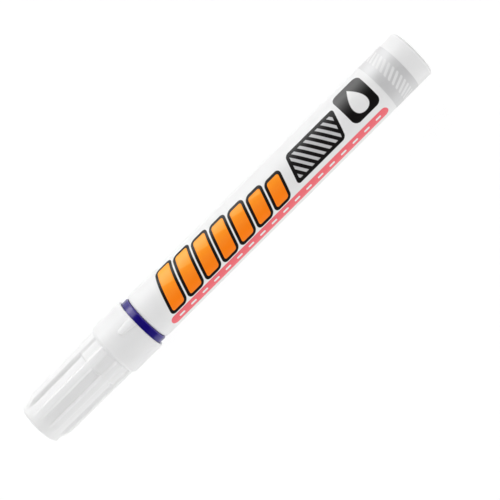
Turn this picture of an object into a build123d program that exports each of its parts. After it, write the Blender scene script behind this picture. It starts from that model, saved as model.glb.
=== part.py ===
"""Valve-action paint marker: an aluminium can of paint with a pumped fibre nib and a ribbed cap.

The marker lies along X. x = 0 is the flat rear end of the barrel, the nib points to +X, and +Z is up.
Sizes are in millimetres, angles in degrees.
"""

import os
from math import cos, radians, sin, sqrt

from build123d import *

os.makedirs("parts", exist_ok=True)

# Fits between pieces
press_gap = 0.02
slide_gap = 0.05
cap_gap = 0.10
seat_gap = 0.15
overrun = 1.0

# Barrel: a drawn can whose mouth is rolled in behind the collar
barrel_length = 97.85
barrel_diameter = 14.5
barrel_wall = 0.5
barrel_floor = 0.8
barrel_end_round = 0.6
barrel_curl = 1.0
barrel_lip = 0.3

# Front collar: flange, stepped neck that the cap snaps on, and a spigot inside the can
flange_length = 11.45
flange_inset = 0.05
flange_draft = 0.2
flange_edge_round = 0.45
neck_length = 6.2
neck_step = 0.85
neck_edge = 0.35
snap_bead_setback = 3.1
snap_bead_width = 1.3
snap_bead_height = 0.2
spigot_overhang = 2.2
spigot_edge = 0.5
ledge_thickness = 1.0
ledge_hole_diameter = 5.6

# Nib holder: tapered nose with a tail pressed into the collar
nose_length = 10.25
nose_least_wall = 0.75
nose_room_share = 0.359
nose_draft = 0.575
nose_flare = 0.35
nose_flare_length = 0.7
nose_edge_depth = 0.4
nose_edge_length = 0.8
tail_length = 10.2
tail_step = 0.2
front_guide_length = 5.0
rear_guide_length = 5.0
nib_flow_gap = 0.5
flow_groove_share = 0.75
flow_groove_count = 4

# Nib and its travel
nib_diameter = 4.4
nib_exposed = 7.35
nib_tip_share = 0.86
nib_rear_edge = 0.4
pump_stroke = 2.5

# Valve
housing_length = 12.5
housing_room_share = 0.5606
housing_wall = 0.8
seat_thickness = 1.5
stem_pin_diameter = 2.2
stem_head_margin = 0.175
stem_head_thickness = 1.2
stem_tail_diameter = 2.4
stem_tail_overhang = 0.6
stem_flow_gap = 0.6
retainer_plug_length = 1.6
retainer_flange_thickness = 0.8
retainer_hole_share = 0.7
retainer_hole_count = 6
spring_wire = 0.45
spring_mean_diameter = 4.2
spring_turns = 7

# Mixing ball, lying on the bottom of the can
ball_diameter = 6.0
ball_station = 30.0

# Cap
ring_shown = 2.1
skirt_cover = 1.1
skirt_wall = 0.7
skirt_mouth_round = 0.2
skirt_shoulder_round = 1.2
block_wall = 0.5
block_lead = 0.5
block_edge_round = 0.3
block_step = 0.4
rib_count = 8
rib_width = 2.05
rib_edge_round = 0.25
rib_height = 1.02
rib_draft = 0.2
rib_ramp_start = 1.45
rib_ramp_end = 4.45
first_rib_angle = 13.8
flute_draft = 0.2
cap_edge_round = 0.6
cap_end_wall = 1.2
wedge_length = 5.1
wedge_mouth_width = 2.7
wedge_tip_width = 1.3
wedge_height = 0.45
wedge_edge_round = 0.3

# Cap liner
liner_play = 0.2
liner_end_wall = 0.8
liner_overlap = 5.0
liner_nib_gap = 1.2
nib_room = 2.6

# Radii
barrel_radius = barrel_diameter / 2
bore_radius = barrel_radius - barrel_wall
lip_radius = barrel_radius - barrel_curl - barrel_lip
flange_rear_radius = barrel_radius - flange_inset
flange_front_radius = flange_rear_radius - flange_draft
neck_radius = flange_front_radius - neck_step
spigot_radius = bore_radius - press_gap
nib_radius = nib_diameter / 2
nib_guide_radius = nib_radius + slide_gap
nose_room = neck_radius - nib_guide_radius
nose_base_radius = nib_guide_radius + nose_least_wall + nose_room * nose_room_share
nose_front_radius = nose_base_radius - nose_draft
tail_radius = nose_base_radius - tail_step
stem_pin_radius = stem_pin_diameter / 2
stem_tail_radius = stem_tail_diameter / 2
spring_radius = spring_mean_diameter / 2
spring_outer_radius = spring_radius + spring_wire / 2
stem_head_radius = spring_outer_radius + stem_head_margin
housing_room = spigot_radius - stem_tail_radius
housing_radius = stem_tail_radius + housing_room * housing_room_share
housing_bore_radius = housing_radius - housing_wall
ball_radius = ball_diameter / 2
skirt_bore_radius = flange_rear_radius + cap_gap
skirt_radius = skirt_bore_radius + skirt_wall
neck_bore_radius = neck_radius + snap_bead_height + slide_gap
block_radius = neck_bore_radius + block_wall
flute_rear_radius = block_radius - block_step
flute_front_radius = flute_rear_radius - flute_draft
rib_rear_radius = flute_rear_radius + rib_height
rib_front_radius = rib_rear_radius - rib_draft
liner_radius = nose_base_radius + nose_flare + liner_play
liner_bore_radius = liner_radius + press_gap

# Stations along X, from the rear end to the cap's end
neck_x = barrel_length + flange_length
nose_x = neck_x + neck_length
nose_front_x = nose_x + nose_length
ledge_front_x = nose_x - tail_length
ledge_rear_x = ledge_front_x - ledge_thickness
seat_rear_x = ledge_rear_x - seat_thickness
housing_rear_x = seat_rear_x - housing_length
retainer_rear_x = housing_rear_x - retainer_flange_thickness
spigot_rear_x = retainer_rear_x - spigot_overhang
nib_rear_x = ledge_front_x + pump_stroke
nib_tip_x = nose_front_x + nib_exposed
head_rear_x = seat_rear_x - stem_head_thickness
spring_rear_x = housing_rear_x + retainer_plug_length
cap_mouth_x = barrel_length + ring_shown
skirt_front_x = neck_x + seat_gap + skirt_cover
skirt_reach = skirt_front_x - cap_mouth_x
shoulder_x = skirt_front_x - skirt_cover / 2
neck_bore_end_x = nose_x + seat_gap
block_front_x = neck_bore_end_x + block_lead
liner_end_x = nib_tip_x + nib_room
cap_bore_end_x = liner_end_x + liner_end_wall
cap_end_x = cap_bore_end_x + cap_end_wall


def round_corner(section, corner, radius):
    """Round the corner of a flat section that lies nearest to the given point."""
    fillet(section.vertices().sort_by_distance(corner)[0], radius)


def nose_radius(x):
    """Radius of the tapered nose at a station along X."""
    along = (x - nose_x) / nose_length
    return nose_base_radius + (nose_front_radius - nose_base_radius) * along


# Barrel
with BuildPart() as barrel:
    with BuildSketch(Plane.XZ) as section:
        with BuildLine():
            Polyline(
                (0, 0),
                (0, barrel_radius),
                (barrel_length, barrel_radius),
                (barrel_length, lip_radius),
                (barrel_length - barrel_wall, lip_radius),
                (barrel_length - barrel_wall, bore_radius),
                (barrel_floor, bore_radius),
                (barrel_floor, 0),
                close=True,
            )
        make_face()
        round_corner(section, (0, barrel_radius), barrel_end_round)
        round_corner(section, (barrel_length, barrel_radius), barrel_curl)
        round_corner(section, (barrel_length - barrel_wall, bore_radius), barrel_curl - barrel_wall)
        round_corner(section, (barrel_floor, bore_radius), barrel_end_round - barrel_wall)
    revolve(axis=Axis.X)
barrel.part.label = "barrel"
export_step(barrel.part, "parts/barrel.step")

# Front collar
snap_bead_x = neck_x + snap_bead_setback
spigot_front_x = barrel_length - barrel_curl - press_gap
groove_radius = lip_radius - press_gap
housing_seat_radius = housing_radius + press_gap
tail_seat_radius = tail_radius + press_gap
ledge_hole_radius = ledge_hole_diameter / 2
with BuildPart() as front_collar:
    with BuildSketch(Plane.XZ) as section:
        with BuildLine():
            Polyline(
                (snap_bead_x + snap_bead_width / 2, neck_radius),
                (nose_x, neck_radius),
                (nose_x, tail_seat_radius),
                (ledge_front_x, tail_seat_radius),
                (ledge_front_x, ledge_hole_radius),
                (ledge_rear_x, ledge_hole_radius),
                (ledge_rear_x, housing_seat_radius),
                (spigot_rear_x, housing_seat_radius),
                (spigot_rear_x, spigot_radius),
                (spigot_front_x, spigot_radius),
                (spigot_front_x, groove_radius),
                (barrel_length, groove_radius),
                (barrel_length, flange_rear_radius),
                (neck_x, flange_front_radius),
                (neck_x, neck_radius),
                (snap_bead_x - snap_bead_width / 2, neck_radius),
            )
            ThreePointArc(
                (snap_bead_x - snap_bead_width / 2, neck_radius),
                (snap_bead_x, neck_radius + snap_bead_height),
                (snap_bead_x + snap_bead_width / 2, neck_radius),
            )
        make_face()
        round_corner(section, (neck_x, flange_front_radius), flange_edge_round)
        round_corner(section, (barrel_length, flange_rear_radius), flange_edge_round)
        neck_front = section.vertices().sort_by_distance((nose_x, neck_radius))[0]
        chamfer(neck_front, neck_edge)
        spigot_rear = section.vertices().sort_by_distance((spigot_rear_x, spigot_radius))[0]
        chamfer(spigot_rear, spigot_edge)
    revolve(axis=Axis.X)
front_collar.part.label = "front_collar"
export_step(front_collar.part, "parts/front_collar.step")

# Nib holder
nib_flow_radius = nib_radius + nib_flow_gap
flare_x = nose_x + nose_flare_length
nose_edge_x = nose_front_x - nose_edge_length
front_guide_x = nose_front_x - front_guide_length
rear_guide_x = ledge_front_x + rear_guide_length
with BuildPart() as nib_holder:
    with BuildSketch(Plane.XZ):
        with BuildLine():
            Polyline(
                (flare_x, nose_radius(flare_x)),
                (nose_edge_x, nose_radius(nose_edge_x)),
                (nose_front_x, nose_front_radius - nose_edge_depth),
                (nose_front_x, nib_guide_radius),
                (front_guide_x, nib_guide_radius),
                (front_guide_x, nib_flow_radius),
                (rear_guide_x, nib_flow_radius),
                (rear_guide_x, nib_guide_radius),
                (ledge_front_x, nib_guide_radius),
                (ledge_front_x, tail_radius),
                (nose_x, tail_radius),
                (nose_x, nose_base_radius + nose_flare),
            )
            TangentArc(
                (flare_x, nose_radius(flare_x)),
                (nose_x, nose_base_radius + nose_flare),
                tangent=(-nose_length, nose_base_radius - nose_front_radius),
            )
        make_face()
    revolve(axis=Axis.X)
    # Grooves that carry the paint past the rear guide
    with BuildSketch(Plane.YZ.offset(ledge_front_x)):
        with PolarLocations(nib_guide_radius, flow_groove_count):
            Circle((nib_flow_radius - nib_guide_radius) * flow_groove_share)
    extrude(amount=rear_guide_length, mode=Mode.SUBTRACT)
nib_holder.part.label = "nib_holder"
export_step(nib_holder.part, "parts/nib_holder.step")

# Nib
with BuildPart() as nib:
    with BuildSketch(Plane.XZ) as section:
        with BuildLine():
            Polyline(
                (nib_rear_x, 0),
                (nib_rear_x, nib_radius),
                (nib_tip_x, nib_radius),
                (nib_tip_x, 0),
                close=True,
            )
        make_face()
        round_corner(section, (nib_tip_x, nib_radius), nib_radius * nib_tip_share)
        nib_rear = section.vertices().sort_by_distance((nib_rear_x, nib_radius))[0]
        chamfer(nib_rear, nib_rear_edge)
    revolve(axis=Axis.X)
nib.part.label = "nib"
export_step(nib.part, "parts/nib.step")

# Valve housing
with BuildPart() as valve_housing:
    with BuildSketch(Plane.YZ.offset(housing_rear_x)):
        Circle(housing_radius)
        Circle(housing_bore_radius, mode=Mode.SUBTRACT)
    extrude(amount=housing_length)
valve_housing.part.label = "valve_housing"
export_step(valve_housing.part, "parts/valve_housing.step")

# Valve seat
with BuildPart() as valve_seat:
    with BuildSketch(Plane.YZ.offset(seat_rear_x)):
        Circle(housing_radius)
        Circle(stem_pin_radius + stem_flow_gap, mode=Mode.SUBTRACT)
    extrude(amount=seat_thickness)
valve_seat.part.label = "valve_seat"
export_step(valve_seat.part, "parts/valve_seat.step")

# Valve stem: the pin meets the nib, the head closes the seat, the tail runs in the retainer
with BuildPart() as valve_stem:
    with BuildSketch(Plane.XZ):
        with BuildLine():
            Polyline(
                (retainer_rear_x - stem_tail_overhang, 0),
                (retainer_rear_x - stem_tail_overhang, stem_tail_radius),
                (head_rear_x, stem_tail_radius),
                (head_rear_x, stem_head_radius),
                (seat_rear_x, stem_head_radius),
                (seat_rear_x, stem_pin_radius),
                (nib_rear_x, stem_pin_radius),
                (nib_rear_x, 0),
                close=True,
            )
        make_face()
    revolve(axis=Axis.X)
valve_stem.part.label = "valve_stem"
export_step(valve_stem.part, "parts/valve_stem.step")

# Spring retainer: a flanged plug in the rear of the housing, with holes that let the paint in
retainer_ring_radius = (spring_outer_radius + housing_bore_radius) / 2
retainer_hole_radius = (housing_bore_radius - retainer_ring_radius) * retainer_hole_share
with BuildPart() as spring_retainer:
    with BuildSketch(Plane.YZ.offset(retainer_rear_x)):
        Circle(housing_radius)
    extrude(amount=retainer_flange_thickness)
    with BuildSketch(Plane.YZ.offset(housing_rear_x)):
        Circle(housing_bore_radius - press_gap)
    extrude(amount=retainer_plug_length)
    with BuildSketch(Plane.YZ.offset(retainer_rear_x)):
        Circle(stem_tail_radius + slide_gap)
        with PolarLocations(retainer_ring_radius, retainer_hole_count):
            Circle(retainer_hole_radius)
    extrude(amount=retainer_flange_thickness + retainer_plug_length, mode=Mode.SUBTRACT)
spring_retainer.part.label = "spring_retainer"
export_step(spring_retainer.part, "parts/spring_retainer.step")

# Valve spring: a round wire wound between the retainer and the stem's head, two arcs a quarter turn
spring_start_x = spring_rear_x + slide_gap + spring_wire / 2
spring_height = head_rear_x - slide_gap - spring_wire / 2 - spring_start_x
spring_pitch = spring_height / spring_turns
quarter = 90


def coil_point(angle):
    """Point of the wire's centre line at an angle from its rear end."""
    around = Vector(0, cos(radians(angle)), sin(radians(angle))) * spring_radius
    return around + Vector(spring_start_x + spring_pitch * angle / 360, 0, 0)


def coil_direction(angle):
    """Unit direction of the wire at an angle from its rear end."""
    around = Vector(0, -sin(radians(angle)), cos(radians(angle))) * spring_radius
    return (around + Vector(spring_pitch / radians(360), 0, 0)).normalized()


with BuildPart() as valve_spring:
    with BuildLine() as coil:
        for angle in range(0, 360 * spring_turns, quarter):
            start = coil_point(angle)
            end = coil_point(angle + quarter)
            out = coil_direction(angle)
            back = coil_direction(angle + quarter)
            chord = end - start
            lean = 1 - out.dot(back)
            pull = chord.dot(out + back)
            reach = (sqrt(pull**2 + 2 * lean * chord.dot(chord)) - pull) / (2 * lean)
            meeting = (start + end + (out - back) * reach) / 2
            TangentArc(start, meeting, tangent=out)
            TangentArc(meeting, end, tangent=back * -1, tangent_from_first=False)
    with BuildSketch(Plane(origin=coil_point(0), z_dir=coil_direction(0) * -1)):
        Circle(spring_wire / 2)
    sweep(path=coil.line)
valve_spring.part.label = "valve_spring"
export_step(valve_spring.part, "parts/valve_spring.step")
coil_step = 15
coil_points = [coil_point(angle) for angle in range(0, 360 * spring_turns + 1, coil_step)]
half_turn = 180 // coil_step
coil_gap = min(
    (far - near).length - spring_wire
    for place, near in enumerate(coil_points)
    for far in coil_points[place + half_turn :]
)
print(f"least gap of the spring to itself: {coil_gap:.2f} mm")

# Mixing ball
with BuildPart() as mixing_ball:
    with Locations((ball_station, 0, ball_radius + slide_gap - bore_radius)):
        Sphere(ball_radius)
mixing_ball.part.label = "mixing_ball"
export_step(mixing_ball.part, "parts/mixing_ball.step")

# Cap ribs: the crest's turned envelope, cut down to straight planks
with BuildPart() as cap_ribs:
    with BuildSketch(Plane.XZ):
        with BuildLine():
            Polyline(
                (shoulder_x, 0),
                (shoulder_x, rib_rear_radius),
                (skirt_front_x, rib_rear_radius),
                (cap_end_x - rib_ramp_end, rib_front_radius),
                (cap_end_x - rib_ramp_start, flute_front_radius),
                (cap_end_x - rib_ramp_start, 0),
                close=True,
            )
        make_face()
    revolve(axis=Axis.X)
    with BuildSketch(Plane.YZ.offset(cap_mouth_x)):
        with PolarLocations(0, rib_count, start_angle=90 + first_rib_angle):
            with Locations((rib_rear_radius, 0)):
                Rectangle(2 * rib_rear_radius, rib_width)
    extrude(amount=cap_end_x - cap_mouth_x, mode=Mode.INTERSECT)
    # Soften the long edges of the crests
    crest_edges = [
        edge
        for edge in cap_ribs.edges()
        if edge.length > skirt_reach
        and Vector(0, edge.center().Y, edge.center().Z).length > flute_rear_radius
    ]
    fillet(crest_edges, rib_edge_round)

# Cap shell: skirt, blocks that back the neck's bore, fluted body, ribs and the wedge on the skirt
wedge_angle = first_rib_angle
wedge_up = Vector(0, -sin(radians(wedge_angle)), cos(radians(wedge_angle)))
wedge_root = (skirt_bore_radius + skirt_radius) / 2
with BuildPart() as cap_shell:
    # Fluted body and the blocks
    with BuildSketch(Plane.XZ) as section:
        with BuildLine():
            Polyline(
                (shoulder_x, 0),
                (shoulder_x, block_radius),
                (block_front_x, block_radius),
                (block_front_x, flute_rear_radius),
                (cap_end_x, flute_front_radius),
                (cap_end_x, 0),
                close=True,
            )
        make_face()
        round_corner(section, (block_front_x, block_radius), block_edge_round)
        round_corner(section, (cap_end_x, flute_front_radius), cap_edge_round)
    revolve(axis=Axis.X)
    add(cap_ribs.part)
    # Skirt
    with BuildSketch(Plane.XZ) as section:
        with BuildLine():
            Polyline(
                (cap_mouth_x, 0),
                (cap_mouth_x, skirt_radius),
                (skirt_front_x, skirt_radius),
                (skirt_front_x, 0),
                close=True,
            )
        make_face()
        round_corner(section, (skirt_front_x, skirt_radius), skirt_shoulder_round)
        round_corner(section, (cap_mouth_x, skirt_radius), skirt_mouth_round)
    revolve(axis=Axis.X)
    # Wedge
    wedge_plane = Plane(
        origin=wedge_up * wedge_root + Vector(cap_mouth_x, 0, 0), x_dir=(1, 0, 0), z_dir=wedge_up
    )
    with BuildSketch(wedge_plane):
        with BuildLine():
            Polyline(
                (wedge_length - wedge_tip_width / 2, wedge_tip_width / 2),
                (0, wedge_mouth_width / 2),
                (0, -wedge_mouth_width / 2),
                (wedge_length - wedge_tip_width / 2, -wedge_tip_width / 2),
            )
            ThreePointArc(
                (wedge_length - wedge_tip_width / 2, -wedge_tip_width / 2),
                (wedge_length, 0),
                (wedge_length - wedge_tip_width / 2, wedge_tip_width / 2),
            )
        make_face()
    extrude(amount=skirt_radius + wedge_height - wedge_root)
    wedge_top = cap_shell.faces().filter_by(GeomType.PLANE).sort_by(Axis((0, 0, 0), wedge_up))[-1]
    fillet(wedge_top.edges(), wedge_edge_round)
    # Hollow, from the mouth in
    with BuildSketch(Plane.XZ):
        with BuildLine():
            Polyline(
                (cap_mouth_x - overrun, 0),
                (cap_mouth_x - overrun, skirt_bore_radius),
                (neck_x + seat_gap, skirt_bore_radius),
                (neck_x + seat_gap, neck_bore_radius),
                (neck_bore_end_x, neck_bore_radius),
                (neck_bore_end_x, liner_bore_radius),
                (cap_bore_end_x, liner_bore_radius),
                (cap_bore_end_x, 0),
                close=True,
            )
        make_face()
    revolve(axis=Axis.X, mode=Mode.SUBTRACT)
cap_shell.part.label = "cap_shell"
export_step(cap_shell.part, "parts/cap_shell.step")

# Cap liner: a cup that closes over the nose
liner_lip_x = nose_front_x - liner_overlap
liner_step_x = nose_front_x + seat_gap
liner_room_radius = nib_radius + liner_nib_gap
with BuildPart() as cap_liner:
    with BuildSketch(Plane.XZ):
        with BuildLine():
            Polyline(
                (liner_lip_x, nose_radius(liner_lip_x) + cap_gap),
                (liner_lip_x, liner_radius),
                (cap_bore_end_x, liner_radius),
                (cap_bore_end_x, 0),
                (liner_end_x, 0),
                (liner_end_x, liner_room_radius),
                (liner_step_x, liner_room_radius),
                (liner_step_x, nose_radius(liner_step_x) + cap_gap),
                close=True,
            )
        make_face()
    revolve(axis=Axis.X)
cap_liner.part.label = "cap_liner"
export_step(cap_liner.part, "parts/cap_liner.step")
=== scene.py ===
import math

import bpy
from mathutils import Matrix, Vector, noise


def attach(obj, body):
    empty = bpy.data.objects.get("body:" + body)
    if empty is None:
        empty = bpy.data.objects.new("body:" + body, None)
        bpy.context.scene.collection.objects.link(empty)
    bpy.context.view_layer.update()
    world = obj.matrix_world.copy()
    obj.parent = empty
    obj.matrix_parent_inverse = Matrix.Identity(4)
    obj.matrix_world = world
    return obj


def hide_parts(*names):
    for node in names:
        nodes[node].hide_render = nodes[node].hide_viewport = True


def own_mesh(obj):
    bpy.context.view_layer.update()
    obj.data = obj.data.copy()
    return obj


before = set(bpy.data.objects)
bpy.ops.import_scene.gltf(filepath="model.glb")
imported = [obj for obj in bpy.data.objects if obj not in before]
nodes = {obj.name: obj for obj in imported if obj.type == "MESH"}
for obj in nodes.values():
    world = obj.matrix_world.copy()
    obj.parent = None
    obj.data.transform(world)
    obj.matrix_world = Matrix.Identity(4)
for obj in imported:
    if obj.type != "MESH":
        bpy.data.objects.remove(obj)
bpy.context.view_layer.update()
scene = bpy.context.scene
scene.view_settings.view_transform = "Standard"
mm = 0.001
joinGap = 0.001  # points closer than this, in millimetres, are one point
print("frame loaded:", len(nodes), "nodes")


class Wire:  # one node output, to be used in sums
    def __init__(self, finish, socket):
        self.finish = finish
        self.socket = socket

    def other(self, name):  # another output of the same node
        return Wire(self.finish, self.socket.node.outputs[name])

    def maths(self, operation, *others):
        return self.finish.maths(operation, self, *others)

    def __add__(self, value):
        return self.maths("ADD", value)

    def __sub__(self, value):
        return self.maths("SUBTRACT", value)

    def __rsub__(self, value):
        return self.finish.maths("SUBTRACT", value, self)

    def __mul__(self, value):
        return self.maths("MULTIPLY", value)

    def __truediv__(self, value):
        return self.maths("DIVIDE", value)

    def __rtruediv__(self, value):
        return self.finish.maths("DIVIDE", value, self)

    def __pow__(self, value):
        return self.maths("POWER", value)

    def __neg__(self):
        return self.maths("MULTIPLY", -1)

    def __abs__(self):
        return self.maths("ABSOLUTE")

    def least(self, value):
        return self.maths("MINIMUM", value)

    def most(self, value):
        return self.maths("MAXIMUM", value)

    __radd__ = __add__
    __rmul__ = __mul__


class Finish:  # the node tree of a material or of the world
    def __init__(self, tree):
        self.tree = tree

    def add(self, kind, settings, sockets, out=0):
        node = self.tree.nodes.new(kind)
        for name, value in settings.items():
            setattr(node, name, value)
        for name, value in sockets.items():
            self.feed(node.inputs[name], value)
        return Wire(self, node.outputs[out])

    def feed(self, socket, value):
        if isinstance(value, Wire):
            self.tree.links.new(value.socket, socket)
        else:
            socket.default_value = value

    def paint(self, sockets):  # values and links of the shader's own sockets
        for name, value in sockets.items():
            self.feed(self.shader[name], value)

    def maths(self, operation, *values):
        return self.add("ShaderNodeMath", {"operation": operation}, dict(enumerate(values)))

    def place(self):  # object coordinates in millimetres
        coords = self.add("ShaderNodeTexCoord", {}, {}, "Object")
        return self.add("ShaderNodeVectorMath", {"operation": "SCALE"}, {0: coords, "Scale": 1 / mm})

    def split(self, vector):
        x = self.add("ShaderNodeSeparateXYZ", {}, {0: vector}, "X")
        return x, x.other("Y"), x.other("Z")

    def join(self, x, y, z):
        return self.add("ShaderNodeCombineXYZ", {}, {0: x, 1: y, 2: z})

    def noise(self, vector, scale, detail=3.0, rough=0.55):
        sockets = {"Vector": vector, "Scale": scale, "Detail": detail, "Roughness": rough}
        return self.add("ShaderNodeTexNoise", {}, sockets)

    def blend(self, share, first, second):  # colours
        return self.add("ShaderNodeMix", {"data_type": "RGBA"}, {0: share, 6: first, 7: second}, 2)

    def span(self, value, low, high, to=(0.0, 1.0)):  # smooth step
        settings = {"interpolation_type": "SMOOTHSTEP"}
        return self.add("ShaderNodeMapRange", settings, {0: value, 1: low, 2: high, 3: to[0], 4: to[1]})

    def bump(self, height, strength, depth):
        sockets = {"Strength": strength, "Distance": depth * mm, "Height": height}
        return self.add("ShaderNodeBump", {}, sockets)


def newFinish(name, sockets):
    material = bpy.data.materials.new(name)
    material.use_nodes = True
    finish = Finish(material.node_tree)
    finish.material = material
    finish.shader = material.node_tree.nodes["Principled BSDF"].inputs
    finish.paint(sockets)
    return finish


def dress(name, finish):
    nodes[name].data.materials[0] = finish.material


def deselect():
    for item in bpy.context.selected_objects:
        item.select_set(False)


def pick(piece):
    deselect()
    piece.select_set(True)
    bpy.context.view_layer.objects.active = piece


def growRings(name, rings):  # a circle extruded ring by ring, to points in millimetres
    deselect()
    bpy.ops.mesh.primitive_circle_add(vertices=len(rings[0]), radius=mm)
    piece = bpy.context.active_object
    piece.name = name
    bpy.ops.object.mode_set(mode="EDIT")
    bpy.ops.mesh.select_all(action="SELECT")
    for ring in rings[1:]:
        bpy.ops.mesh.extrude_region_move()
    bpy.ops.object.mode_set(mode="OBJECT")
    points = [value * mm for ring in rings for point in ring for value in point]
    piece.data.vertices.foreach_set("co", points)
    bpy.ops.object.mode_set(mode="EDIT")
    bpy.ops.mesh.select_all(action="SELECT")
    bpy.ops.mesh.remove_doubles(threshold=joinGap * mm)
    bpy.ops.mesh.normals_make_consistent(inside=False)
    bpy.ops.object.mode_set(mode="OBJECT")
    return piece


def smooth(piece, angle):
    pick(piece)
    bpy.ops.object.shade_smooth_by_angle(angle=math.radians(angle))
    piece.modifiers.new("weighted", "WEIGHTED_NORMAL").keep_sharp = True
    bpy.ops.object.modifier_apply(modifier="weighted")


def arc(centreX, centreR, radius, start, end, steps):  # a corner round, in a section through the axis
    angles = [math.radians(start + (end - start) * i / steps) for i in range(steps + 1)]
    return [(centreX + radius * math.sin(a), centreR + radius * math.cos(a)) for a in angles]


def mix(ends, share):  # the value at a share of the way between two ends
    return ends[0] + (ends[1] - ends[0]) * share


def softMost(first, second, reach):  # the larger of two values, rounded over where they cross
    near = max(reach - abs(first - second), 0) / reach
    return max(first, second) + near * near * reach / 4


# Barrel: satin lacquer with a printed design of slanted bars, a hatched panel, a drop, a stripe and a band,
# with a painted glow on the bars, a painted sheen on the square and a painted highlight and shade on the rear
# rim
lacquer = {
    "radius": 7.25,
    "gloss": 0.3,
    "rough": 0.33,
    "grain": {"scale": 1.6, "detail": 4.0, "rough": 0.08},
    "peel": {"scale": 0.9, "detail": 2.0, "bump": (0.08, 0.02)},
    "white": (0.9, 0.9, 0.9, 1),
    "ink": (0.007, 0.006, 0.006, 1),
    "inkEdge": 0.14,  # softness of the print's outlines
    "printStart": 92.0,
    "slant": 0.34,
    # Rear rim: a painted highlight where the rear edge starts to round over, and painted shade along the very
    # edge
    "rim": {
        "pale": (0.97, 0.97, 0.97, 1), "paintedHighlightAt": 0.62, "paintedHighlightSpan": (0.24, 0.06),
        "dark": (0.76, 0.76, 0.76, 1), "paintedShadeSpan": (0.32, 0.08),
    },
    "bars": {
        "start": 1.2, "pitch": 6.3, "count": 7, "halfWidth": 2.05, "corner": 0.7, "outline": 0.85,
        "top": 7.3, "foot": -4.1, "fall": 0.8,  # each bar is this much shorter than the last
        "orange": (1.0, 0.205, 0.0, 1), "amber": (1.0, 0.4, 0.02, 1), "fade": (-3.0, 7.0),
        # painted glow: the orange fill emits a little light of its own
        "paintedGlow": (0.13, 0.035, 0.0, 1),
        "shine": (1.0, 0.5, 0.08, 1), "shineShare": 0.4, "shineLine": 2.3, "shineSlant": 0.25,
        "shineEdge": 0.5, "shineInset": 0.35, "insetEdge": 0.3,
    },
    "panel": {
        "middle": 56.5, "up": 0.45, "half": (8.6, 4.1), "corner": 1.1, "border": 1.0,
        "hatch": (0.6, 0.6, 0.61, 1), "hatchSlant": 0.6, "hatchPitch": 2.1, "hatchSpan": (0.26, 0.2),
    },
    "drop": {
        "middle": 72.4, "foot": -2.2, "height": 7.6, "girth": 6.6, "belly": 0.5, "taper": 1.15, "edge": 0.22,
        "squareUp": 1.8, "squareHalf": (4.7, 5.2), "corner": 1.9,
        "paintedSheen": (0.13, 0.13, 0.13, 1), "paintedSheenSpan": (-7.5, 0.0), "paintedSheenSlant": 0.1,
    },
    "stripe": {
        "middle": 37.7, "up": -6.75, "half": (39.2, 1.55), "corner": 1.5, "pink": (0.95, 0.16, 0.19, 1),
        "dotPitch": 4.2, "dotHalf": (0.95, 0.34), "dotCorner": 0.33, "dotReach": 36.6,
    },
    "band": {
        "ends": (4.95, 12.95), "silver": (0.755, 0.755, 0.76, 1), "metal": 0.26, "rough": 0.17,
        "ticks": 30, "tickAt": 8.6, "tickHalf": (0.4, 1.7), "tickCorner": 0.3, "tickSlant": 0.45,
        "pale": (0.87, 0.87, 0.87, 1),
    },
}


def cover(distance, edge=lacquer["inkEdge"]):  # 1 inside an outline, from the distance to it
    return distance.finish.span(distance, edge / 2, -edge / 2)


def between(value, low, high, edge=0.05):  # 1 from low to high
    span = value.finish.span
    return span(value, low - edge, low + edge) * span(value, high + edge, high - edge)


def roundBox(across, up, half, corner):  # distance to a box with round corners
    dx = abs(across) - half[0] + corner
    dy = abs(up) - half[1] + corner
    outside = (dx.most(0.0) ** 2.0 + dy.most(0.0) ** 2.0) ** 0.5
    return outside + dx.most(dy).least(0.0) - corner


def repeat(value, pitch):  # distance to the middle of the nearest repeat
    return ((value / pitch).maths("FRACT") - 0.5) * pitch


# In the prints s runs along the barrel towards its rear, and v round it from the top line
def printBars(s, v):  # outline, fill and shine of bars that grow shorter towards the rear
    bars = lacquer["bars"]
    pitch = bars["pitch"]
    lean = s - v * lacquer["slant"] - bars["start"]
    number = (lean / pitch).maths("FLOOR")
    local = lean - number * pitch - pitch / 2
    top = bars["top"] - number * bars["fall"]
    middle = (top + bars["foot"]) / 2
    half = (bars["halfWidth"], (top - bars["foot"]) / 2)
    shape = roundBox(local, v - middle, half, bars["corner"])
    inRow = between(lean, 0.0, pitch * bars["count"])
    shine = cover(bars["shineLine"] - v - local * bars["shineSlant"], bars["shineEdge"])
    shine = shine * cover(shape + bars["shineInset"], bars["insetEdge"])
    return cover(shape - bars["outline"]) * inRow, cover(shape) * inRow, shine


def printPanel(s, v):  # ground and hatching
    panel = lacquer["panel"]
    lean = s - v * lacquer["slant"] - panel["middle"]
    shape = roundBox(lean, v - panel["up"], panel["half"], panel["corner"])
    hatch = repeat(s + v * panel["hatchSlant"], panel["hatchPitch"]) / panel["hatchPitch"]
    return cover(shape), s.finish.span(abs(hatch), *panel["hatchSpan"]) * cover(shape + panel["border"])


def printDrop(s, v):  # rounded square, its painted sheen (a painted reflection, greyer towards the top line) and the drop on it
    drop = lacquer["drop"]
    across = s - drop["middle"]
    square = roundBox(across, v - drop["squareUp"], drop["squareHalf"], drop["corner"])
    rise = ((v - drop["foot"]) / drop["height"]).most(0.0001).least(0.9999)  # off 0 and 1, for the powers
    girth = rise ** drop["belly"] * (1.0 - rise) ** drop["taper"] * drop["girth"]
    shape = cover(abs(across) - girth, drop["edge"]) * between(v, drop["foot"], drop["foot"] + drop["height"])
    return cover(square), s.finish.span(v - s * drop["paintedSheenSlant"], *drop["paintedSheenSpan"]), shape


def printStripe(s, v):  # stripe and its row of pale dots
    stripe = lacquer["stripe"]
    along = s - stripe["middle"]
    up = v - stripe["up"]
    shape = roundBox(along, up, stripe["half"], stripe["corner"])
    dots = roundBox(repeat(s, stripe["dotPitch"]), up, stripe["dotHalf"], stripe["dotCorner"])
    return cover(shape), cover(dots) * cover(abs(along) - stripe["dotReach"])


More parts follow.
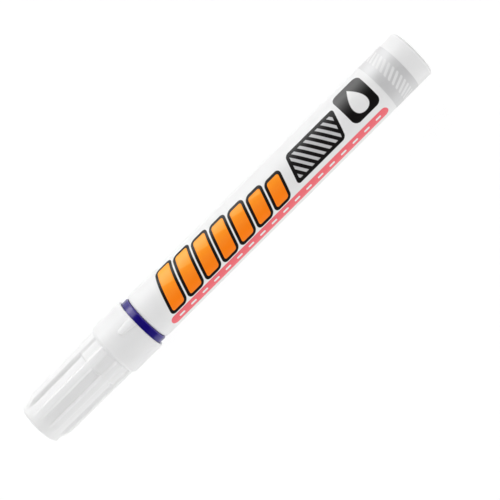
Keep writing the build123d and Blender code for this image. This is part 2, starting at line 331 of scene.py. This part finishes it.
def printBand(x, v):  # silver band near the rear end and its row of pale slanted ticks
    band = lacquer["band"]
    low, high = band["ends"]
    shape = cover(abs(x - (low + high) / 2) - (high - low) / 2)
    pitch = 2 * math.pi * lacquer["radius"] / band["ticks"]
    tick = repeat(v + x * band["tickSlant"], pitch)
    return shape, cover(roundBox(tick, x - band["tickAt"], band["tickHalf"], band["tickCorner"])) * shape


def dressBarrel():
    white = newFinish("barrel lacquer", {"Specular IOR Level": lacquer["gloss"], "Emission Strength": 1.0})
    place = white.place()
    x, y, z = white.split(place)
    v = (-y).maths("ARCTAN2", z) * lacquer["radius"]
    s = lacquer["printStart"] - x
    barInk, barFill, shine = printBars(s, v)
    panelInk, hatch = printPanel(s, v)
    squareInk, paintedSheen, drop = printDrop(s, v)
    stripeFill, dots = printStripe(s, v)
    silver, ticks = printBand(x, v)

    rim, bars, band, grain, peel = (lacquer[key] for key in ("rim", "bars", "band", "grain", "peel"))
    orange = white.blend(white.span(v, *bars["fade"]), bars["orange"], bars["amber"])
    orange = white.blend(shine * bars["shineShare"], orange, bars["shine"])
    # black ink with a painted sheen: greyer towards the top line, a painted reflection
    inkWithPaintedSheen = white.blend(paintedSheen, lacquer["ink"], lacquer["drop"]["paintedSheen"])
    layers = (
        # painted highlight, then painted shade, on the rear edge's round
        (white.span(abs(x - rim["paintedHighlightAt"]), *rim["paintedHighlightSpan"]), rim["pale"]),
        (white.span(x, *rim["paintedShadeSpan"]), rim["dark"]),
        (silver, band["silver"]),
        (ticks, band["pale"]),
        (stripeFill, lacquer["stripe"]["pink"]),
        (dots, lacquer["white"]),
        (barInk, lacquer["ink"]),
        (barFill, orange),
        (panelInk, lacquer["ink"]),
        (hatch, lacquer["panel"]["hatch"]),
        (squareInk, inkWithPaintedSheen),
        (drop, lacquer["white"]),
    )
    colour = lacquer["white"]
    for share, layer in layers:
        colour = white.blend(share, colour, layer)
    rough = white.noise(place, grain["scale"], grain["detail"]) * grain["rough"]
    white.paint({
        "Base Color": colour,
        # painted glow: the orange bars emit light though they are no lamp
        "Emission Color": white.blend(barFill, (0, 0, 0, 1), bars["paintedGlow"]),
        "Roughness": lacquer["rough"] + rough + silver * band["rough"],
        "Metallic": (silver - ticks) * band["metal"],
        "Normal": white.bump(white.noise(place, peel["scale"], peel["detail"]), *peel["bump"]),
    })
    dress("barrel", white)


dressBarrel()
print("barrel dressed")


# Violet-blue mouldings: a satin collar with fine turning lines, and a glossier nose, both with painted
# highlights along their edges
violet = {
    "colour": (0.0068, 0.0003, 0.205, 1),
    "deep": (0.0058, 0.0002, 0.185, 1),
    # paler violet of the painted highlights along the edges
    "paintedEdgeColour": (0.075, 0.045, 0.3, 1),
    "glint": (0.86, 0.79, 1.0, 1),
    "collar": {"rough": 0.18, "lines": 0.06, "gloss": 0.75, "edges": (98.0, 109.12, 111.55, 112.85, 115.32)},
    "nose": {"rough": 0.08, "lines": 0.02, "gloss": 0.85, "edges": (124.95, 125.65)},
    "edgeSpan": (0.2, 0.05),
    "paintedEdgeShare": (0.35, 0.5),  # of the painted edge highlight: least, and what the grain adds
    "cloud": 0.35,
    "grain": 3.0,
    "grainRough": 0.05,
    "line": {"pace": 9.0, "detail": 2.0, "rough": 0.6, "span": (0.3, 0.75), "height": 4.0},
    "bump": (0.06, 0.02),
}


def dressViolet(name, node, look):
    blue = newFinish(name, {"Specular IOR Level": look["gloss"], "Specular Tint": violet["glint"]})
    place = blue.place()
    x = blue.split(place)[0]
    cloud = blue.noise(place, violet["cloud"])
    grain = blue.noise(place, violet["grain"])
    line = violet["line"]
    turned = blue.noise(blue.join(x * line["pace"], 0.0, 0.0), 1.0, line["detail"], line["rough"])
    lines = blue.span(turned, *line["span"]) * look["lines"]
    # painted highlight: paler along each listed edge
    paintedEdge = 0.0
    for edge in look["edges"]:
        paintedEdge = blue.span(abs(x - edge), *violet["edgeSpan"]) + paintedEdge
    least, added = violet["paintedEdgeShare"]
    paintedEdge = paintedEdge.least(1.0) * (least + grain * added)
    colour = blue.blend(cloud, violet["colour"], violet["deep"])
    blue.paint({
        "Base Color": blue.blend(paintedEdge, colour, violet["paintedEdgeColour"]),
        "Roughness": look["rough"] + grain * violet["grainRough"] + lines,
        "Normal": blue.bump(grain + turned * look["lines"] * line["height"], *violet["bump"]),
    })
    dress(node, blue)


dressViolet("collar plastic", "front_collar", violet["collar"])
dressViolet("nose plastic", "nib_holder", violet["nose"])
print("collar and nose dressed")


# Cap: a skirt, soft blocks behind the neck's bore, and eight straight ribs that run out before the end
capForm = {
    "mouth": 99.95, "mouthRound": 0.2, "skirt": 8.0,
    "shoulder": 110.55, "shoulderRound": 1.2, "shoulderTurn": 84,
    "bore": 7.3, "boreChamfer": 0.1, "neckStep": 109.45, "neckBore": 6.4, "neckEnd": 115.65,
    "linerBore": 4.97, "floor": 136.5, "end": 137.7, "endRound": 0.6,
    "block": 6.9, "blockEnd": 116.15, "blockSoft": 0.35,
    "flute": (6.5, 6.3), "crest": (7.52, 7.32),  # radii at the shoulder, and further on
    "ramp": (133.25, 136.25), "rampSoft": 0.25, "runOutSoft": 0.2,
    "ribs": 8, "firstRib": 13.8, "ribTop": 0.84, "ribFoot": 1.37, "leastDepth": 0.002,
    "rootSoft": 0.45, "rootShare": 0.6, "edgeSoft": 0.45, "edgeShare": 0.5,
    "columnShares": (  # from a rib's middle to the middle of the flute beside it
        0, 0.09, 0.17, 0.24, 0.27, 0.29, 0.31, 0.33, 0.35, 0.37, 0.39,
        0.41, 0.43, 0.45, 0.48, 0.52, 0.57, 0.64, 0.74, 0.87, 1,
    ),
    "skirtRings": (101.0, 103.0, 105.0, 107.0, 108.4),
    "blockRings": (110.7, 110.9, 111.3, 112.0, 113.0, 114.0, 115.0, 115.6),
    "step": {"before": 0.25, "pace": 0.07, "count": 10},  # the fall from the blocks to the flutes
    "ribRings": ((116.55, 1.08, 15), (132.75, 0.25, 16)),  # start, pace and count
    "endRings": (4.0, 2.0, 0.0),
    "mouthSteps": 4, "shoulderSteps": 12, "endSteps": 6,  # of the round edges
    "joinGap": 0.002,
    "smoothAngle": 35,
    "tongue": {
        "setBack": 0.02, "length": 5.08, "mouthHalf": 1.45, "tipHalf": 0.9, "sections": 24, "sides": 28,
        "rise": 0.43, "root": 7.75, "sink": 0.1, "tilt": 0.1, "flat": 0.85, "tipFall": 0.35,
    },
}


def ribRadius(across, flute, crest):  # a rib with leaning flanks, at a distance from its middle line
    depth = max(crest - flute, capForm["leastDepth"])
    flank = flute + depth * (capForm["ribFoot"] - across) / (capForm["ribFoot"] - capForm["ribTop"])
    raised = softMost(flank, flute, min(capForm["rootSoft"], depth * capForm["rootShare"]))
    return -softMost(-raised, -crest, min(capForm["edgeSoft"], depth * capForm["edgeShare"]))


def ribRing(x, flute, crest, least=0.0):  # the whole section at x, nowhere inside the radius least
    pitch = 2 * math.pi / capForm["ribs"]
    half = [share * pitch / 2 for share in capForm["columnShares"]]
    sector = [-angle for angle in reversed(half[1:])] + half[:-1]
    ring = []
    for number in range(capForm["ribs"]):
        for angle in sector:
            radius = ribRadius(abs(angle) * capForm["block"], flute, crest)
            if least:
                radius = softMost(radius, least, capForm["blockSoft"])
            turn = math.radians(capForm["firstRib"]) + number * pitch + angle
            ring.append((x, -radius * math.sin(turn), radius * math.cos(turn)))
    return ring


def roundRing(x, radius):  # a circle with the same columns as the ribbed sections
    ring = ribRing(x, capForm["flute"][0], capForm["crest"][0])
    return [(x, y * radius / math.hypot(y, z), z * radius / math.hypot(y, z)) for _, y, z in ring]


def capRadii(x):  # flute and crest at a station of the ribbed body
    shoulder, end = capForm["shoulder"], capForm["end"]
    rampStart, rampEnd = capForm["ramp"]
    flute = mix(capForm["flute"], (x - shoulder) / (end - shoulder))
    crest = mix(capForm["crest"], (x - shoulder) / (rampStart - shoulder))
    fall = mix((capForm["crest"][1], capForm["flute"][1]), (x - rampStart) / (rampEnd - rampStart))
    crest = -softMost(-crest, -fall, capForm["rampSoft"])
    return flute, softMost(crest, flute, capForm["runOutSoft"])


def buildMoulding():  # from the floor of the bore out to the mouth, and back along the outside to the end
    mouth, end, bore, skirt = capForm["mouth"], capForm["end"], capForm["bore"], capForm["skirt"]
    linerBore, chamfer = capForm["linerBore"], capForm["boreChamfer"]
    profile = [(capForm["floor"], radius) for radius in (0.0, linerBore / 2, linerBore)]
    profile += [(capForm["neckEnd"], linerBore), (capForm["neckEnd"], capForm["neckBore"])]
    profile += [(capForm["neckStep"], capForm["neckBore"]), (capForm["neckStep"], bore)]
    profile += [(mouth + chamfer, bore), (mouth, bore + chamfer)]
    rim = capForm["mouthRound"]
    profile += arc(mouth + rim, skirt - rim, rim, -90, 0, capForm["mouthSteps"])
    profile += [(x, skirt) for x in capForm["skirtRings"]]
    rings = [roundRing(x, radius) for x, radius in profile]

    bend, bendTurn, bendSteps = capForm["shoulderRound"], capForm["shoulderTurn"], capForm["shoulderSteps"]
    for x, radius in arc(capForm["shoulder"] - bend, skirt - bend, bend, 0, bendTurn, bendSteps):
        rings.append(ribRing(x, capForm["block"], capForm["crest"][0], radius))
    for x in capForm["blockRings"]:
        rings.append(ribRing(x, capForm["block"], capRadii(x)[1]))
    step = capForm["step"]
    foot = capRadii(capForm["blockEnd"])[0]
    for i in range(step["count"] + 1):
        x = capForm["blockEnd"] - step["before"] + i * step["pace"]
        height = (1 + math.cos(math.pi * i / step["count"])) / 2
        rings.append(ribRing(x, mix((foot, capForm["block"]), height), capRadii(x)[1]))
    for start, pace, count in capForm["ribRings"]:
        for i in range(1, count + 1):
            x = start + i * pace
            rings.append(ribRing(x, *capRadii(x)))

    turn = capForm["endRound"]
    profile = arc(end - turn, capForm["flute"][1] - turn, turn, 0, 90, capForm["endSteps"])
    profile += [(end, radius) for radius in capForm["endRings"]]
    rings += [roundRing(x, radius) for x, radius in profile]
    return growRings("cap_moulding", rings)


def buildTongue():  # on the skirt, in line with a rib, its crown tilted a little to one side
    tongue = capForm["tongue"]
    skirt = capForm["skirt"]
    start = capForm["mouth"] + tongue["setBack"]
    lean = math.radians(capForm["firstRib"])

    def onSkirt(x, height, across):
        y = -height * math.sin(lean) - across * math.cos(lean)
        return x, y, height * math.cos(lean) - across * math.sin(lean)

    rings = [[onSkirt(start, skirt, 0)] * tongue["sides"]]
    for i in range(tongue["sections"] + 1):
        along = tongue["length"] * math.sin(i / tongue["sections"] * math.pi / 2)
        half = mix((tongue["mouthHalf"], tongue["tipHalf"]), along / tongue["length"])
        left = tongue["length"] - along
        close = math.sqrt(max(1 - (1 - min(left / tongue["tipHalf"], 1)) ** 2, 0))  # rounds the tip
        tall = skirt + tongue["rise"] * close ** tongue["tipFall"] - tongue["root"]
        ring = []
        for k in range(tongue["sides"]):
            a = 2 * math.pi * k / tongue["sides"]
            across = half * close * math.cos(a)
            out = math.sin(a)
            crown = tall * max(out, 0) ** tongue["flat"] - across * tongue["tilt"] * out
            height = tongue["root"] + (crown if out > 0 else out * tongue["sink"])
            ring.append(onSkirt(start + along, height, across))
        rings.append(ring)
    return growRings("cap_tongue", rings)


def buildCap():
    shell = buildMoulding()
    ridge = buildTongue()
    pick(shell)
    union = shell.modifiers.new("tongue", "BOOLEAN")
    union.operation = "UNION"
    union.object = ridge
    bpy.ops.object.modifier_apply(modifier="tongue")
    bpy.data.objects.remove(ridge)
    bpy.ops.object.mode_set(mode="EDIT")
    bpy.ops.mesh.select_all(action="SELECT")
    bpy.ops.mesh.remove_doubles(threshold=capForm["joinGap"] * mm)
    bpy.ops.mesh.dissolve_degenerate(threshold=capForm["joinGap"] * mm)
    bpy.ops.object.mode_set(mode="OBJECT")
    smooth(shell, capForm["smoothAngle"])
    return shell


capShell = buildCap()
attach(capShell, "cap")
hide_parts("cap_shell")
capLook = {
    "white": (0.912, 0.912, 0.912, 1),
    "shade": (0.893, 0.893, 0.898, 1),
    "ribbed": (0.965, 0.965, 0.965, 1),  # the ribbed body, from the shoulder on, painted lighter than the skirt to lift the shade between its ribs
    # painted lighter still towards the end, lifting the shade there
    "tip": (0.978, 0.978, 0.978, 1),
    "root": (0.995, 0.995, 0.995, 1),  # painted light at the foot of the ribs, lifting the shade in their corners
    "paintedRootFrom": (0.8, 1.1),
    "paintedRootTo": (2.1, 1.5),
    "paintedRootRadius": (7.2, 6.9),
    "shoulderSpan": (-0.4, 0.6),
    "gloss": 0.33,
    "rough": 0.28,
    "glow": 0.8,
    "glowDepth": 0.55,
    "cloud": 0.25,
    "grain": 4.0,
    "grainRough": 0.08,
    "bump": (0.05, 0.015),
}


def dressCap():
    white = newFinish("cap plastic", {
        "Specular IOR Level": capLook["gloss"],
        "Subsurface Weight": capLook["glow"],
        "Subsurface Scale": capLook["glowDepth"] * mm,
        "Subsurface Radius": (1, 1, 1),
    })
    place = white.place()
    x, y, z = white.split(place)
    cloud = white.noise(place, capLook["cloud"])
    grain = white.noise(place, capLook["grain"])
    sector = 360 / capForm["ribs"]
    turn = (-y).maths("ARCTAN2", z) / math.radians(sector) - capForm["firstRib"] / sector
    turn = (turn + capForm["ribs"] + 0.5).maths("FRACT") - 0.5
    across = abs(turn) * math.radians(sector) * capForm["flute"][0]
    radius = (y ** 2.0 + z ** 2.0) ** 0.5
    # painted light: lighter at the rib feet, and the ribbed body lighter than the skirt, more so towards the
    # end
    root = white.span(across, *capLook["paintedRootFrom"]) * white.span(across, *capLook["paintedRootTo"])
    root = root * white.span(radius, *capLook["paintedRootRadius"])
    plain = white.blend(cloud, capLook["shade"], capLook["white"])
    along = white.span(x, capForm["shoulder"], capForm["end"])
    paintedLightRidges = white.blend(along, capLook["ribbed"], capLook["tip"])
    paintedLightRidges = white.blend(root, paintedLightRidges, capLook["root"])
    low, high = capLook["shoulderSpan"]
    ribbed = white.span(x, capForm["shoulder"] + low, capForm["shoulder"] + high)
    white.paint({
        "Base Color": white.blend(ribbed, plain, paintedLightRidges),
        "Roughness": capLook["rough"] + grain * capLook["grainRough"],
        "Normal": white.bump(grain, *capLook["bump"]),
    })
    capShell.data.materials.append(white.material)


dressCap()
print("cap built:", len(capShell.data.polygons), "faces")


# Nib: a bonded fibre rod with a worn dome, its fibres standing a little proud of one another
nibForm = {
    "rear": 107.8, "tip": 133.1, "radius": 2.2, "dome": 1.892, "chamfer": 0.4,
    "bare": 125.0, "bareFade": 0.5,  # the fibres stand out from here on
    "rodRings": ((109.8, 2.4, 7), (125.35, 0.35, 17)),  # start, pace and count
    "columns": 160, "domeSteps": 16, "smoothAngle": 50, "fray": 0.045,
    "strand": {"along": 0.5, "across": 9.0, "share": 0.7},
    "tuft": {"along": 2.2, "across": 2.5, "share": 0.6},
}
nibLook = {
    "fibre": (0.5, 0.15, 0.022, 1),
    "light": (0.8, 0.34, 0.07, 1),
    "dark": (0.13, 0.036, 0.006, 1),
    "tip": (0.7, 0.42, 0.24, 1),
    "worn": {"start": 1.6, "full": 0.1, "ragged": 1.2, "scale": 0.8, "share": 0.8},  # back from the tip
    "strand": {"along": 1.6, "across": 5.0, "detail": 4.0, "rough": 0.7, "span": (0.4, 0.6)},
    "fleck": {"along": 3.4, "across": 5.0, "detail": 2.0, "rough": 0.6, "span": (0.5, 0.64)},
    "fleckShare": 0.85,
    "fleckHeight": 0.6,
    "bump": (0.6, 0.05),
    "rough": 0.7,
    "strandRough": 0.25,
    "gloss": 0.25,
}


def sunkFibre(x, radius, a):  # how far the fibres sink in at a point of the rod
    strand, tuft = nibForm["strand"], nibForm["tuft"]
    wide = tuft["across"] * radius
    strandAt = Vector((x * strand["along"], math.cos(a) * strand["across"], math.sin(a) * strand["across"]))
    tuftAt = Vector((x * tuft["along"], math.cos(a) * wide, math.sin(a) * wide))
    sunk = (0.5 + 0.5 * noise.noise(strandAt)) * strand["share"]
    return sunk + (0.5 + 0.5 * noise.noise(tuftAt)) * tuft["share"]


def buildNib():
    rear, tip, radius, dome = nibForm["rear"], nibForm["tip"], nibForm["radius"], nibForm["dome"]
    profile = [(rear, 0.0), (rear, radius - nibForm["chamfer"]), (rear + nibForm["chamfer"], radius)]
    for start, pace, count in nibForm["rodRings"]:
        profile += [(start + i * pace, radius) for i in range(count)]
    profile += arc(tip - dome, radius - dome, dome, 0, 90, nibForm["domeSteps"]) + [(tip, 0.0)]
    rings = []
    for x, r in profile:
        ring = []
        shown = min(max((x - nibForm["bare"]) / nibForm["bareFade"], 0), 1)
        for k in range(nibForm["columns"]):
            a = 2 * math.pi * k / nibForm["columns"]
            grown = r - nibForm["fray"] * sunkFibre(x, r, a) * shown * min(r, 1)
            ring.append((x, grown * math.cos(a), grown * math.sin(a)))
        rings.append(ring)
    piece = growRings("nib_fibre_rod", rings)
    smooth(piece, nibForm["smoothAngle"])
    return piece


nibRod = buildNib()
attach(nibRod, "nib_pump")
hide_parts("nib")


def dressNib():
    fibre = newFinish("nib fibre", {"Specular IOR Level": nibLook["gloss"]})
    place = fibre.place()
    x, y, z = fibre.split(place)

    def drawn(look):  # noise stretched along the rod
        way = fibre.join(x * look["along"], y * look["across"], z * look["across"])
        return fibre.noise(way, 1.0, look["detail"], look["rough"])

    strand, fleck, worn = nibLook["strand"], nibLook["fleck"], nibLook["worn"]
    strands = drawn(strand)
    flecks = drawn(fleck)
    colour = fibre.blend(fibre.span(strands, *strand["span"]), nibLook["fibre"], nibLook["light"])
    dark = fibre.span(flecks, *fleck["span"]) * nibLook["fleckShare"]
    colour = fibre.blend(dark, colour, nibLook["dark"])
    ragged = x + fibre.noise(place, worn["scale"]) * worn["ragged"]
    wear = fibre.span(ragged, nibForm["tip"] - worn["start"], nibForm["tip"] - worn["full"]) * worn["share"]
    fibre.paint({
        "Base Color": fibre.blend(wear, colour, nibLook["tip"]),
        "Roughness": nibLook["rough"] + strands * nibLook["strandRough"],
        "Normal": fibre.bump(strands + flecks * nibLook["fleckHeight"], *nibLook["bump"]),
    })
    nibRod.data.materials.append(fibre.material)


dressNib()
print("nib built:", len(nibRod.data.polygons), "faces")


# Valve spring: a coil of drawn wire, built at its rest length (the real one shortens as the nib is pressed)
springForm = {
    "start": 92.175, "end": 101.325, "radius": 2.1, "wire": 0.225, "turns": 7, "steps": 30, "sides": 14,
    "endSteps": 3, "endReach": 0.3,  # domed wire ends
    "anchor": 91.9, "pressed": 0.742, "smoothAngle": 60,
}


def buildSpring():
    radius, wire, endSteps = springForm["radius"], springForm["wire"], springForm["endSteps"]
    rise = (springForm["end"] - springForm["start"]) / (2 * math.pi * springForm["turns"])
    total = springForm["turns"] * springForm["steps"]
    sides = [2 * math.pi * k / springForm["sides"] for k in range(springForm["sides"])]
    rings = []
    for i in range(-endSteps, total + endSteps + 1):
        step = min(max(i, 0), total)
        beyond = abs(i - step) / endSteps
        a = 2 * math.pi * step / springForm["steps"]
        radial = Vector((0, math.cos(a), math.sin(a)))
        along = Vector((rise, -math.sin(a) * radius, math.cos(a) * radius)).normalized()
        across = along.cross(radial)
        centre = Vector((springForm["start"] + rise * a, 0, 0)) + radial * radius
        centre += along * wire * springForm["endReach"] * beyond * (1 if i > 0 else -1)
        size = wire * math.sqrt(max(1 - beyond ** 2, 0))
        rings.append([centre + (radial * math.cos(t) + across * math.sin(t)) * size for t in sides])
    piece = growRings("valve_spring_coil", rings)
    smooth(piece, springForm["smoothAngle"])
    return piece


springCoil = buildSpring()
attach(springCoil, "marker")
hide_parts("valve_spring")
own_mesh(springCoil)
print("spring built:", len(springCoil.data.polygons), "faces")


# Steel, rubber and natural plastics of the pieces inside
steelLook = {
    "spring": {"colour": (0.6, 0.6, 0.6, 1), "rough": 0.28, "streaks": 9.0},
    "ball": {"colour": (0.75, 0.75, 0.76, 1), "rough": 0.08, "streaks": 1.0},
    "across": 2.0,
    "drawnShare": 0.5,
    "cloud": 0.5,
    "stain": 0.85,
}
mouldedLook = {
    "valve": {
        "colour": (0.82, 0.82, 0.79, 1), "deep": (0.76, 0.76, 0.72, 1),
        "rough": 0.4, "grain": 3.0, "glow": 0.3,
    },
    "liner": {
        "colour": (0.8, 0.8, 0.77, 1), "deep": (0.74, 0.74, 0.7, 1),
        "rough": 0.45, "grain": 3.5, "glow": 0.35,
    },
    "seat": {
        "colour": (0.03, 0.03, 0.03, 1), "deep": (0.045, 0.045, 0.043, 1),
        "rough": 0.6, "grain": 5.0, "glow": 0.0,
    },
    "glowDepth": 0.6,
    "cloud": 0.4,
    "grainRough": 0.12,
    "bump": (0.15, 0.02),
}


def newSteel(name, look):
    steel = newFinish(name, {"Metallic": 1.0})
    place = steel.place()
    x, y, z = steel.split(place)
    across = steelLook["across"]
    drawn = steel.noise(steel.join(x * look["streaks"], y * across, z * across), 1.0)
    cloud = steel.noise(place, steelLook["cloud"])
    stained = [value * steelLook["stain"] for value in look["colour"][:3]] + [1]
    steel.paint({
        "Base Color": steel.blend(cloud, look["colour"], stained),
        "Roughness": look["rough"] + drawn * look["rough"] * steelLook["drawnShare"],
    })
    return steel


def newMoulded(name, look):
    moulded = newFinish(name, {
        "Subsurface Weight": look["glow"],
        "Subsurface Scale": mouldedLook["glowDepth"] * mm,
        "Subsurface Radius": (1, 1, 1),
    })
    place = moulded.place()
    cloud = moulded.noise(place, mouldedLook["cloud"])
    grain = moulded.noise(place, look["grain"])
    moulded.paint({
        "Base Color": moulded.blend(cloud, look["colour"], look["deep"]),
        "Roughness": look["rough"] + grain * mouldedLook["grainRough"],
        "Normal": moulded.bump(grain, *mouldedLook["bump"]),
    })
    return moulded


springCoil.data.materials.append(newSteel("spring steel", steelLook["spring"]).material)
dress("mixing_ball", newSteel("ball steel", steelLook["ball"]))
natural = newMoulded("valve plastic", mouldedLook["valve"])
for name in ("valve_housing", "valve_stem", "spring_retainer"):
    dress(name, natural)
dress("cap_liner", newMoulded("liner plastic", mouldedLook["liner"]))
dress("valve_seat", newMoulded("seat rubber", mouldedLook["seat"]))
print("inner pieces dressed")


# Camera over the marker, aimed at the picture's middle
camera = {
    "foot": (55.0, 6.56), "height": 365.0, "aim": (66.1, 6.56), "turn": 135.14,
    "frame": 130.8, "sensor": 36.0,  # width of the view at the aim, and of the sensor
    "clip": (0.01, 100),
}
camData = bpy.data.cameras.new("camera")
cam = bpy.data.objects.new("camera", camData)
scene.collection.objects.link(cam)
eye = Vector((*camera["foot"], camera["height"])) * mm
aim = Vector((*camera["aim"], 0)) * mm
back = (eye - aim).normalized()
turn = math.radians(camera["turn"])
right = Vector((math.cos(turn), math.sin(turn), 0))
right = (right - back * right.dot(back)).normalized()
cam.matrix_world = Matrix((right, back.cross(right), back)).transposed().to_4x4()
cam.location = eye
camData.sensor_width = camera["sensor"]
camData.lens = camera["sensor"] * (eye - aim).length / mm / camera["frame"]
camData.clip_start, camData.clip_end = camera["clip"]
scene.camera = cam
print("camera set")


# White floor that keeps a soft shadow
ground = {
    "size": 6.0, "middle": 0.07, "level": -8.1,
    "matte": (0.85, 0.85, 0.85, 1), "white": 1.137,
    "glow": 0.75, "shadowed": (250.0, 600.0),  # plain white's share near the marker, and where it grows
}
deselect()
bpy.ops.mesh.primitive_plane_add(size=ground["size"], location=(ground["middle"], 0, ground["level"] * mm))
floor = bpy.context.active_object
floor.name = "floor"
floorPaint = bpy.data.materials.new("floor")
floorPaint.use_nodes = True
floorPaint.node_tree.nodes.clear()
paper = Finish(floorPaint.node_tree)
path = paper.add("ShaderNodeLightPath", {}, {}, "Is Camera Ray")
seen = (path + path.other("Is Glossy Ray") + path.other("Is Transmission Ray")).least(1.0)
matte = paper.add("ShaderNodeBsdfDiffuse", {}, {"Color": ground["matte"]})
glow = paper.add("ShaderNodeEmission", {}, {"Strength": ground["white"]})
away = paper.add("ShaderNodeVectorMath", {"operation": "LENGTH"}, {0: paper.place()}, "Value")
share = paper.span(away, *ground["shadowed"], (ground["glow"], 1.0))
mixed = paper.add("ShaderNodeMixShader", {}, {0: seen * share, 1: matte, 2: glow})
sheet = floorPaint.node_tree.nodes.new("ShaderNodeOutputMaterial")
paper.feed(sheet.inputs["Surface"], mixed)
floor.data.materials.append(floorPaint)
print("floor laid")


# Studio light: a tall softbox on one side, brighter below, with fills opposite, above and at both ends
softboxes = {
    "keyLow": {"place": (0.07, -0.62, 0.14), "aim": (0.07, 0, 0.14), "size": (0.46, 0.27), "glow": 4.65},
    "keyHigh": {"place": (0.07, -0.62, 0.485), "aim": (0.07, 0, 0.485), "size": (0.46, 0.42), "glow": 2.57},
    "low": {"place": (0.07, 0.8, 0.2), "aim": (0.07, 0, 0.2), "size": (1.4, 0.4), "glow": 1.29},
    "side": {"place": (0.07, 0.75, 0.6), "aim": (0.07, 0, 0), "size": (1.4, 0.4), "glow": 1.59},
    "top": {"place": (0.07, 0.0, 1.0), "aim": (0.07, 0, 0), "size": (0.8, 0.8), "glow": 1.21},
    "front": {"place": (0.72, 0.0, 0.3), "aim": (0.137, 0, 0), "size": (0.5, 0.4), "glow": 1.75},
    "rear": {"place": (-0.6, 0.0, 0.3), "aim": (0.0, 0, 0), "size": (0.5, 0.4), "glow": 1.3},
}
for name, box in softboxes.items():
    width, height = box["size"]
    lampData = bpy.data.lights.new(name, "AREA")
    lampData.shape = "RECTANGLE"
    lampData.size = width
    lampData.size_y = height
    lampData.energy = box["glow"] * math.pi * width * height
    lamp = bpy.data.objects.new(name, lampData)
    scene.collection.objects.link(lamp)
    lamp.location = box["place"]
    lamp.visible_glossy = name.startswith("key")  # the others light the surfaces but leave no glints
    lamp.rotation_euler = (Vector(box["aim"]) - Vector(box["place"])).to_track_quat("-Z", "Y").to_euler()

# Dim tent round it all: white to the camera, dimmer still in glints
tent = {"horizon": 0.2, "zenith": 0.0, "rise": (0.5, 0.85), "dimmed": 0.6}
world = bpy.data.worlds.new("tent")
scene.world = world
world.use_nodes = True
world.node_tree.nodes.clear()
air = Finish(world.node_tree)
up = air.split(air.add("ShaderNodeTexCoord", {}, {}, "Generated"))[2]
camSees = air.add("ShaderNodeLightPath", {}, {}, "Is Camera Ray")
glint = camSees.other("Is Glossy Ray")
dome = air.span(up, *tent["rise"], (tent["horizon"], tent["zenith"]))
strength = camSees + (1 - camSees) * dome * (1 - glint * tent["dimmed"])
lit = air.add("ShaderNodeBackground", {}, {"Color": (1, 1, 1, 1), "Strength": strength})
sky = world.node_tree.nodes.new("ShaderNodeOutputWorld")
air.feed(sky.inputs["Surface"], lit)
print("lights set")
